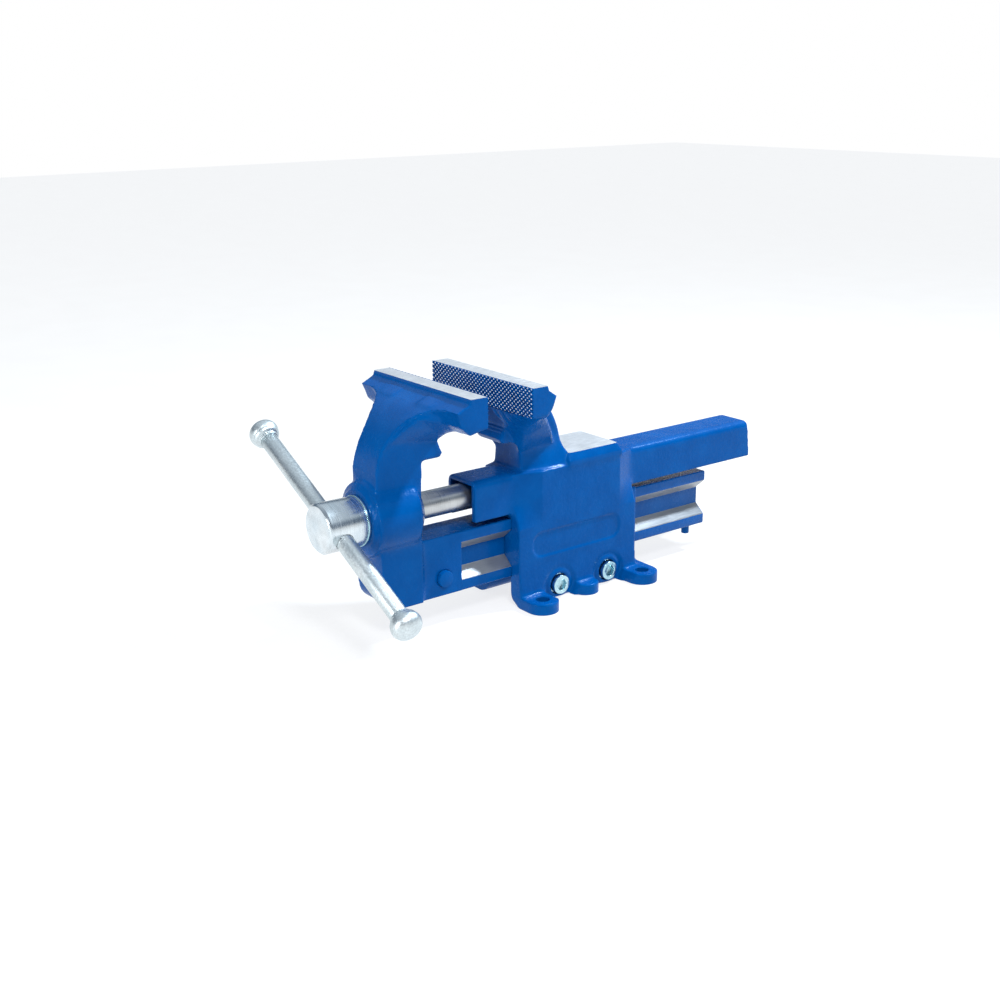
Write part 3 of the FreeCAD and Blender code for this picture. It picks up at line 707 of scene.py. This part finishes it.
def funnel_shape(grip, top):
    """Front of the moving jaw: the curved outer side of its neck, spreading up to the full jaw width."""
    rows = []
    for drop, half in FUNNEL:
        drop, half = drop * MM, half * MM
        turn = math.asin((ARC_DROP - drop) / ARC_RADIUS)
        row = []
        for inward, width in ((0.0, half), (8 * MM, 0.92 * half), (30 * MM, 19 * MM)):
            reach = ARC_RADIUS - inward
            row.append((width, grip - ARC_BACK - reach * math.cos(turn),
                        top - ARC_DROP + reach * math.sin(turn)))
        rows.append(row + [(-x, y, z) for x, y, z in reversed(row)])
    bm = bmesh.new()
    rings = [[bm.verts.new(point) for point in row] for row in rows]
    for upper, lower in zip(rings, rings[1:]):
        for here in range(6):
            beside = (here + 1) % 6
            bm.faces.new([upper[here], upper[beside], lower[beside], lower[here]])
    bm.faces.new(rings[0])
    bm.faces.new(rings[-1])
    return mesh_from(bm, "funnel")


class VISE_OT_moving_jaw(bpy.types.Operator):
    """Forged moving jaw with its barrel and ground land"""

    bl_idname = "vise.moving_jaw"
    bl_label = "Build moving jaw"

    def execute(self, context):
        settings, teeth = context.scene.vise_forging, context.scene.vise_serrations
        node, extra = "moving_jaw", settings.stock
        low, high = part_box(node)
        land_low, land_high = plane_box(node, 2, high.z)
        grip = land_high.y
        groove_y = grip + settings.groove_start
        bar_half, bar_bottom = bar_section()[0]
        bar_top = bar_section()[-1][1]
        spindle_low, spindle_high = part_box("spindle")
        bush_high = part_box("spindle_bush")[1]
        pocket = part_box("retaining_collar")[1].x + MM
        plug_low, plug_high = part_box("guide_bar_plug")

        def on_axis(y):
            return Vector((0, y, (spindle_low.z + spindle_high.z) / 2))

        points = extended(cad_points(node), node, grip, -1, extra, [(high.z, 0.0, land_low, land_high)])
        shapes = [funnel_shape(grip, high.z),
                  rod_shape(pocket + 0.5 * MM, on_axis(low.y), on_axis(grip - 30 * MM))]

        def fill_weight(co):
            below_webs = 1 - ramp(co[:, 2], 135 * MM, 150 * MM)
            return 0.6 * below_webs * np.where(co[:, 1] > groove_y - 2 * MM, 0.0, 1.0)

        def web_weight(co):
            back, drop = grip - co[:, 1], high.z - co[:, 2]
            depth = ARC_RADIUS - np.hypot(back - ARC_BACK, drop - ARC_DROP)
            web = ramp(co[:, 2], 145 * MM, 160 * MM) * (1 - ramp(co[:, 2], 202 * MM, 207 * MM))
            rows = FUNNEL[:6] + FUNNEL[-1:]     # below the sixth row the rim counts as straight
            rim = np.interp(drop, [row[0] * MM for row in rows], [row[1] * MM for row in rows])
            inside = ramp(rim - np.abs(co[:, 0]), 3 * MM, 7 * MM)
            front = ramp(drop, 6 * MM, 9 * MM) * inside * ramp(back, 25 * MM, 30 * MM)
            behind = web * ramp(depth, 2 * MM, 7 * MM) * ramp(back, 3 * MM, 8 * MM)
            return 0.5 * np.maximum(front, behind)

        mesh = forged_skin(node, points, shapes, settings, fill_weight, web_weight)
        cutters = [box_shape((low.x - OVER, grip, high.z - FACE_CUT),
                             (high.x + OVER, grip + 2 * extra, high.z + 2 * extra)),
                   box_shape((low.x - OVER, low.y, high.z), (high.x + OVER, grip + OVER, high.z + 2 * extra)),
                   box_shape((-bar_half - OVER, groove_y, bar_bottom - OVER),
                             (bar_half + OVER, high.y + OVER, bar_top + OVER)),
                   rod_shape(bush_high.x, on_axis(low.y - OVER), on_axis(bush_high.y + OVER)),
                   rod_shape(pocket, on_axis(bush_high.y), on_axis(grip)),
                   box_shape((low.x - OVER, grip - teeth.depth, high.z - FACE_HEIGHT - MM),
                             (high.x + OVER, grip + OVER, high.z + OVER))]
        mesh = carve(mesh, cutters)
        paint_faces(mesh, [(1, ground_top(high.z))])
        finish_mesh(mesh)
        new_piece("moving_jaw_forging", mesh, ["blue_enamel", "ground_steel"],
                  "moving_jaw_and_bar", [node])
        plug_centre = (plug_low + plug_high) / 2
        radius, reach = (plug_high.z - plug_low.z) / 2, plug_high.x - plug_low.x
        edge = 0.8 * MM
        corner = [(0, radius - edge), (edge * 0.3, radius - edge * 0.3), (edge, radius)]
        profile = [(0, 0)] + corner + [(reach - along, out) for along, out in reversed(corner)] + [(reach, 0)]
        plug = lathe_shape(profile, plug_centre - Vector((reach / 2, 0, 0)), (1, 0, 0))
        finish_mesh(plug)
        new_piece("guide_bar_plug_disc", plug, ["blue_enamel"], "moving_jaw_and_bar",
                  ["guide_bar_plug"])
        return {"FINISHED"}


def inset_ring(ring, distance):
    """Ring of corners moved inwards by a distance from both of their sides."""
    result = []
    for here, (x, z) in enumerate(ring):
        before, after = Vector(ring[here - 1]), Vector(ring[(here + 1) % len(ring)])
        corner = Vector((x, z))
        arriving, leaving = (corner - before).normalized(), (after - corner).normalized()
        left_in, left_out = Vector((-arriving.y, arriving.x)), Vector((-leaving.y, leaving.x))
        result.append(tuple(corner + (left_in + left_out) * distance / (1 + left_in.dot(left_out))))
    return result


def rounded_ring(ring, radius, steps=4):
    """Ring with each corner rounded, by points on a parabola between its two sides."""
    result = []
    for here, (x, z) in enumerate(ring):
        before, after = Vector(ring[here - 1]), Vector(ring[(here + 1) % len(ring)])
        corner = Vector((x, z))
        first = corner + (before - corner).normalized() * radius
        last = corner + (after - corner).normalized() * radius
        for step in range(steps + 1):
            share = step / steps
            result.append(tuple(first.lerp(corner, share).lerp(corner.lerp(last, share), share)))
    return result


class VISE_OT_guide_bar(bpy.types.Operator):
    """I-section guide bar with ground flanks"""

    bl_idname = "vise.guide_bar"
    bl_label = "Build guide bar"

    def execute(self, context):
        settings = context.scene.vise_forging
        node = "moving_jaw"
        land_high = plane_box(node, 2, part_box(node)[1].z)[1]
        start = land_high.y + settings.groove_start - MM
        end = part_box(node)[1].y
        corners = bar_section()
        edge = 1.4 * MM
        bm = bmesh.new()
        rings = []
        for y, inset in ((start, 0.0), (end - edge, 0.0), (end - 0.3 * edge, 0.3 * edge), (end, edge)):
            ring = rounded_ring(inset_ring(corners + [(-x, z) for x, z in reversed(corners)], inset), edge)
            rings.append([bm.verts.new((x, y, z)) for x, z in ring])
        count = len(rings[0])
        for near, far in zip(rings, rings[1:]):
            for here in range(count):
                beside = (here + 1) % count
                bm.faces.new([near[here], near[beside], far[beside], far[here]])
        ends = [bm.faces.new(rings[0]), bm.faces.new(rings[-1])]
        bm.normal_update()
        bmesh.ops.triangulate(bm, faces=ends)
        mesh = mesh_from(bm, "guide_bar")
        finish_mesh(mesh, 40.0)
        low_edge, low_web, high_web, high_edge = (corner[1] for corner in corners[1:5])

        def flank(low, high):
            return lambda co, up: ((np.abs(up[:, 2]) > 0.5) & (np.abs(up[:, 0]) > 0.3) & (co[:, 2] > low)
                                   & (co[:, 2] < high) & (np.abs(up[:, 1]) < 0.1))

        # Index 1, the flanks, takes the darker copy of ground steel: painted shade.
        paint_faces(mesh, [(1, flank(low_edge - MM, low_web + MM)),
                           (1, flank(high_web - MM, high_edge + MM))])
        new_piece("guide_bar", mesh, ["blue_enamel", "shaded_flank_steel"], "moving_jaw_and_bar")
        return {"FINISHED"}


class VISE_OT_serrations(bpy.types.Operator):
    """Diamond serrations on both gripping faces"""

    bl_idname = "vise.serrations"
    bl_label = "Build serrations"

    def sheet(self, settings, land_low, land_high, grip, side):
        """Field of cut-off pyramids whose tips stand on the gripping face."""
        bm = bmesh.new()
        low = Vector((land_low.x, grip, land_low.z - FACE_HEIGHT))
        high = Vector((land_high.x, grip, land_high.z))
        half_x, half_z = settings.pitch_x / 2, settings.pitch_z / 2
        columns = int((high.x - low.x) / half_x) + 4
        rows = int((high.z - low.z) / half_z) + 4
        ground, tip = grip + side * settings.depth, grip + side * 0.02 * MM
        for column in range(columns):
            for row in range(rows):
                if (column + row) % 2:
                    continue
                middle_x, middle_z = low.x + (column - 1) * half_x, low.z + (row - 1) * half_z
                ways = [(1, 0), (0, 1), (-1, 0), (0, -1)]
                outer = [bm.verts.new((middle_x + way[0] * half_x, ground, middle_z + way[1] * half_z))
                         for way in ways]
                inner = [bm.verts.new((middle_x + way[0] * half_x * settings.tip, tip,
                                       middle_z + way[1] * half_z * settings.tip)) for way in ways]
                # The tip faces take the whitened bare-steel finish, partly a painted highlight.
                bm.faces.new(inner).material_index = 1
                for here in range(4):
                    beside = (here + 1) % 4
                    bm.faces.new([outer[here], outer[beside], inner[beside], inner[here]])
        bmesh.ops.remove_doubles(bm, verts=bm.verts, dist=1e-6)
        for point, normal in ((low, (-1, 0, 0)), (low, (0, 0, -1)), (high, (1, 0, 0)), (high, (0, 0, 1))):
            bmesh.ops.bisect_plane(bm, geom=bm.verts[:] + bm.edges[:] + bm.faces[:], plane_co=point,
                                   plane_no=normal, clear_outer=True)
        border = [edge for edge in bm.edges if edge.is_boundary]
        skirt = bmesh.ops.extrude_edge_only(bm, edges=border)["geom"]
        for vert in skirt:
            if isinstance(vert, bmesh.types.BMVert):
                vert.co.y = ground + side * 0.1 * MM
        return mesh_from(bm, "serrations")

    def execute(self, context):
        settings = context.scene.vise_serrations
        for node, side, body, name in (("fixed_jaw_body", 1, "fixed_jaw", "fixed_jaw_serrations"),
                                       ("moving_jaw", -1, "moving_jaw_and_bar", "moving_jaw_serrations")):
            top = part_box(node)[1].z
            land_low, land_high = plane_box(node, 2, top)
            grip = land_low.y if side > 0 else land_high.y
            mesh = self.sheet(settings, land_low, land_high, grip, side)
            # Index 1 is the whitened tip finish, partly a painted highlight.
            new_piece(name, mesh, ["blue_enamel", "bare_tips_painted_glint"], body)
        return {"FINISHED"}


class VISE_OT_spindle(bpy.types.Operator):
    """Spindle with its screw thread, hub, washers and pins"""

    bl_idname = "vise.spindle"
    bl_label = "Build spindle"

    def thread(self, start, end, height, radius, pitch, depth):
        """Open screw surface with flat crests. Both of its ends flatten against the shaft's own."""
        around = 48
        turns = (end - start) / pitch
        # Outline of one turn, as (share of the pitch, share of the depth)
        outline = ((0.0, 0.0), (0.34, 0.0), (0.44, 0.35), (0.56, 1.0), (0.66, 1.0), (0.78, 1.0), (0.88, 0.35),
                   (0.94, 0.0))
        bm = bmesh.new()
        columns = []
        for step in range(around + 1):
            turn = step / around
            column = []
            angle = 2 * math.pi * turn
            for lap in range(int(turns + 1)):
                for share, drop in outline:
                    along = min(max(start + (lap + share + turn - 1) * pitch, start), end)
                    out = radius - depth * drop
                    column.append((out * math.cos(angle), along, height + out * math.sin(angle)))
            columns.append(column)
        verts = [[bm.verts.new(point) for point in column] for column in columns]
        for step in range(around):
            for index in range(len(columns[0]) - 1):
                bm.faces.new([verts[step][index], verts[step + 1][index], verts[step + 1][index + 1],
                              verts[step][index + 1]])
        bmesh.ops.remove_doubles(bm, verts=bm.verts, dist=1e-6)
        return mesh_from(bm, "thread")

    def execute(self, context):
        settings = context.scene.vise_spindle
        low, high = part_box("spindle")
        shank = high.x
        points = cad_points("spindle")
        height = (low.z + high.z) / 2
        radii = np.hypot(points[:, 0], points[:, 2] - height)
        thread_radius = radii[points[:, 1] > high.y - 3 * MM].max()
        start = points[radii > shank - 0.05 * MM, 1].max()
        hub_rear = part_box("spindle_head")[1].y
        core = thread_radius - settings.thread_depth
        rise, end = start - hub_rear, high.y - hub_rear
        profile = [(0, 0), (0, shank), (rise - MM, shank), (rise, thread_radius), (rise + MM, core),
                   (end - 2 * MM, core), (end - 2 * MM, thread_radius - 1.5 * MM),
                   (end, thread_radius - 2 * MM), (end, 0)]
        shaft = lathe_shape(profile, (0, hub_rear, height), (0, 1, 0))
        finish_mesh(shaft)
        new_piece("spindle_shaft", shaft, ["turned_steel"], "spindle_and_hub",
                  ["spindle"])
        screw = self.thread(start + 0.5 * MM, high.y - 1.5 * MM, height, thread_radius, settings.pitch,
                            settings.thread_depth)
        finish_mesh(screw, 25.0)
        new_piece("spindle_thread", screw, ["turned_steel"], "spindle_and_hub")
        for node, width, material, slot_name in (
                ("spindle_head", 2.2 * MM, "bright_zinc", "forged_steel"),
                ("thrust_washer", 0.5 * MM, "zinc_plate", "zinc_steel"),
                ("back_washer", 0.3 * MM, "zinc_plate", "zinc_steel"),
                ("retaining_collar", 0.8 * MM, "turned_steel", "machined_steel"),
                ("head_pin", 0.3 * MM, "turned_steel", "machined_steel"),
                ("collar_pin", 0.3 * MM, "turned_steel", "machined_steel")):
            finished(node, width, material, "spindle_and_hub", 3)
        return {"FINISHED"}


class VISE_OT_handle(bpy.types.Operator):
    """Sliding handle with its two knobs"""

    bl_idname = "vise.handle"
    bl_label = "Build handle"

    def execute(self, context):
        for node in ("handle_bar", "handle_knob_upper", "handle_knob_lower"):
            finished(node, 0.5 * MM, "galvanised_steel", "handle")
        return {"FINISHED"}


class VISE_OT_fasteners(bpy.types.Operator):
    """Clamp screws, nuts, bush and pins"""

    bl_idname = "vise.fasteners"
    bl_label = "Build fasteners"

    def execute(self, context):
        for node, width, material, slot_name, body in (
                ("clamp_screws", 1.0 * MM, "zinc_plate", "zinc_steel", "fixed_jaw"),
                ("clamp_screw_washers", 0.3 * MM, "zinc_plate", "zinc_steel", "fixed_jaw"),
                ("clamp_lock_nuts", 0.6 * MM, "zinc_plate", "zinc_steel", "fixed_jaw"),
                ("nut_screws", 0.3 * MM, "zinc_plate", "zinc_steel", "fixed_jaw"),
                ("spindle_nut", 0.6 * MM, "turned_steel", "machined_steel", "fixed_jaw"),
                ("spindle_bush", 0.3 * MM, "bronze", "bronze", "moving_jaw_and_bar"),
                ("stop_pin", 0.5 * MM, "blue_enamel", "machined_steel", "moving_jaw_and_bar")):
            finished(node, width, material, body)
        return {"FINISHED"}


# ---- Stage ----

class VISE_OT_stage(bpy.types.Operator):
    """Pale floor, soft light and the camera"""

    bl_idname = "vise.stage"
    bl_label = "Build stage"

    def light(self, name, place, target, size, power, tint):
        data = bpy.data.lights.new(name, "AREA")
        data.shape = "RECTANGLE"
        data.size, data.size_y = size
        data.energy = power
        data.color = colour(tint)[:3]
        lamp = bpy.data.objects.new(name, data)
        bpy.context.scene.collection.objects.link(lamp)
        lamp.location = place
        lamp.rotation_mode = "QUATERNION"
        lamp.rotation_quaternion = (target - place).to_track_quat("-Z", "Y")

    def execute(self, context):
        scene, settings = context.scene, context.scene.vise_stage
        low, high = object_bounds()
        centre = (low + high) / 2
        bm = bmesh.new()
        bmesh.ops.create_grid(bm, x_segments=2, y_segments=2, size=6.0)
        floor = bpy.data.objects.new("floor", mesh_from(bm, "floor"))
        scene.collection.objects.link(floor)
        floor.location = (centre.x, centre.y, -0.0003)
        # Back-lit white acrylic: it glows evenly, so only faint shadows fall on it.
        tree, shader, place = start_material("white_acrylic", Roughness=0.9, Specular_IOR_Level=0.1,
                                             Emission_Strength=0.78)
        shader.inputs["Emission Color"].default_value = colour("#FFFFFF")
        tree.links.new(ramped(tree, noise(tree, place, 90 * MM), [(0.3, "#868686"), (0.7, "#8C8C8C")]),
                       shader.inputs["Base Color"])
        floor.data.materials.append(materials["white_acrylic"])
        floor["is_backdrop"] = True
        world = bpy.data.worlds.new("sky")
        world.use_nodes = True
        tree = world.node_tree
        background = tree.nodes["Background"]
        height = add_node(tree, "ShaderNodeSeparateXYZ",
                          links={"Vector": add_node(tree, "ShaderNodeTexCoord").outputs["Generated"]})
        # White near the floor, pale overhead, with a dark band between, and dark in front of the vise.
        overhead = ramped(tree, height.outputs["Z"], [(0.06, "#FFFFFF"), (0.16, "#56687C"),
                                                      (0.36, "#56687C"), (0.55, "#CDD7E1")])
        front = ranged(tree, height.outputs["Y"], 0.75, 0.0, -0.9, -0.2)
        above_floor = ranged(tree, height.outputs["Z"], 0.0, 1.0, 0.05, 0.15)
        share = add_node(tree, "ShaderNodeMath", links={0: front, 1: above_floor}, operation="MULTIPLY")
        shaded = add_node(tree, "ShaderNodeMix", data_type="RGBA")
        tree.links.new(share.outputs[0], shaded.inputs["Factor"])
        tree.links.new(overhead, shaded.inputs[6])
        shaded.inputs[7].default_value = colour("#2A3A50")
        tree.links.new(shaded.outputs[2], background.inputs["Color"])
        background.inputs["Strength"].default_value = settings.sky
        scene.world = world
        scene.view_settings.view_transform = "Standard"
        for name, away, size, power, tint in (
                ("key", (0.85, -0.45, 0.95), (0.28, 0.28), settings.key_power, "#FFFFFF"),
                ("strip", (0.15, -1.3, 0.2), (0.2, 0.5), settings.strip_power, "#FFFFFF"),
                ("rim", (0.25, 0.85, 1.15), (0.1, 0.1), settings.rim_power, "#E6F4FF")):
            self.light(name, centre + Vector(away), centre, size, power, tint)
        camera_data = bpy.data.cameras.new("camera")
        camera_data.lens = settings.focal_length
        camera_data.sensor_width = 36.0
        camera_data.clip_start, camera_data.clip_end = 0.05, 50
        camera = bpy.data.objects.new("camera", camera_data)
        scene.collection.objects.link(camera)
        camera.location = CAMERA_PLACE
        camera.rotation_mode = "QUATERNION"
        turn = Matrix((CAMERA_RIGHT, CAMERA_UP, CAMERA_BACK)).transposed()
        camera.rotation_quaternion = turn.to_quaternion()
        scene.camera = camera
        return {"FINISHED"}


class VISE_PT_panel(bpy.types.Panel):
    bl_idname = "VISE_PT_panel"
    bl_label = "Bench Vise"
    bl_space_type = "VIEW_3D"
    bl_region_type = "UI"
    bl_category = "Vise"

    def draw(self, context):
        for operator in OPERATORS:
            self.layout.operator(operator.bl_idname)


OPERATORS = (VISE_OT_fixed_jaw, VISE_OT_moving_jaw, VISE_OT_guide_bar, VISE_OT_serrations, VISE_OT_spindle,
             VISE_OT_handle, VISE_OT_fasteners, VISE_OT_stage)
SETTINGS = {"vise_forging": ForgingSettings, "vise_serrations": SerrationSettings,
            "vise_spindle": SpindleSettings, "vise_stage": StageSettings}


def register():
    for cls in (*SETTINGS.values(), *OPERATORS, VISE_PT_panel):
        bpy.utils.register_class(cls)
    for name, cls in SETTINGS.items():
        setattr(bpy.types.Scene, name, bpy.props.PointerProperty(type=cls))


def unregister():
    for name in SETTINGS:
        delattr(bpy.types.Scene, name)
    for cls in reversed((*SETTINGS.values(), *OPERATORS, VISE_PT_panel)):
        bpy.utils.unregister_class(cls)


def main():
    register()
    make_materials()
    for operator in OPERATORS:
        group, action = operator.bl_idname.split(".")
        getattr(getattr(bpy.ops, group), action)()


if __name__ == "__main__":
    main()
